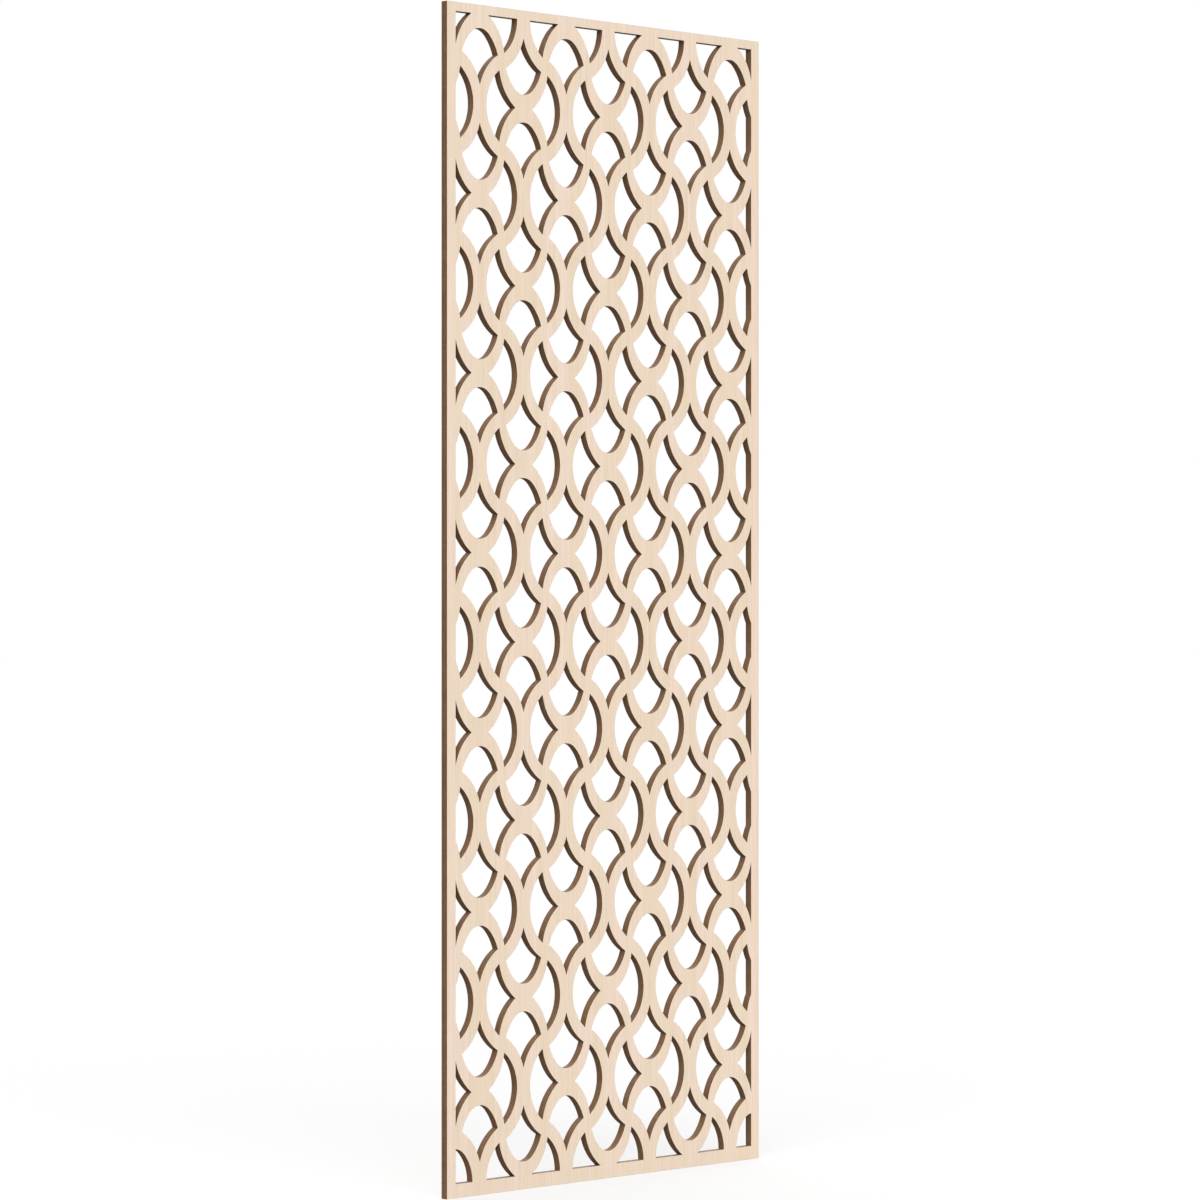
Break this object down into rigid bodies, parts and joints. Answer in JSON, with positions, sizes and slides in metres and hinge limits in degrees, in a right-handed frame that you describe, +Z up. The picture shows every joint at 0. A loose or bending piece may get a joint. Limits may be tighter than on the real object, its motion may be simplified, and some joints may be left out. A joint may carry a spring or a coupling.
{
  "type": "fretwork wood panel",
  "caption": "Tall flat plywood screen panel cut right through with staggered rows of fan and lobe openings that leave interlaced curved strands, inside a plain narrow border.",
  "frame": {"origin": "middle of the bottom edge, halfway through the sheet's thickness", "axes": "+X along the bottom edge to the right as seen from the front, +Y through the thickness from the front face to the back face, +Z up the panel's height"},
  "size_m": [0.916, 0.016, 2.4],
  "materials": {
    "maple_veneer": "pale maple, fine straight grain up the panel, sanded smooth and matte",
    "long_ply": "cut edge burnt brown, grain along the cut, matte",
    "cross_ply": "cut edge burnt brown, end grain, matte"
  },
  "bodies": {
    "root": {"front_face_veneer": "maple_veneer", "front_crossband": "cross_ply", "front_long_ply": "long_ply", "front_inner_crossband": "cross_ply", "centre_core_ply": "long_ply", "back_inner_crossband": "cross_ply", "back_long_ply": "long_ply", "back_crossband": "cross_ply", "back_face_veneer": "maple_veneer"}
  },
  "joints": []
}
